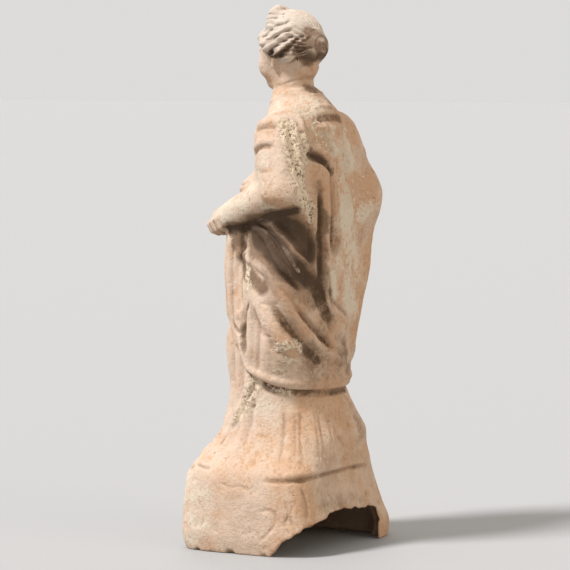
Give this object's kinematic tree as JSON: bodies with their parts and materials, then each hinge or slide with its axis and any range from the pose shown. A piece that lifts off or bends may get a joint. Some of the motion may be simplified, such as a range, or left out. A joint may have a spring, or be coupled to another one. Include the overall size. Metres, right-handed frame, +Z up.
{
  "type": "terracotta statuette of a draped standing woman",
  "caption": "Hollow moulded terracotta statuette of a standing woman in chiton and mantle, on a low flaring base open below, one back corner of the base broken away.",
  "frame": {"origin": "middle of the base's underside, in the plane it stands on", "axes": "+Z up, the figure faces -Y, her left hand is on the +X side"},
  "size_m": [0.0788, 0.0617, 0.2091],
  "materials": {
    "terracotta": "unglazed fired clay, matt, pale orange-pink, with worn cream slip, brown dirt in the hollows and a pitted crust"
  },
  "bodies": {
    "root": {"statuette": "terracotta"}
  },
  "joints": []
}
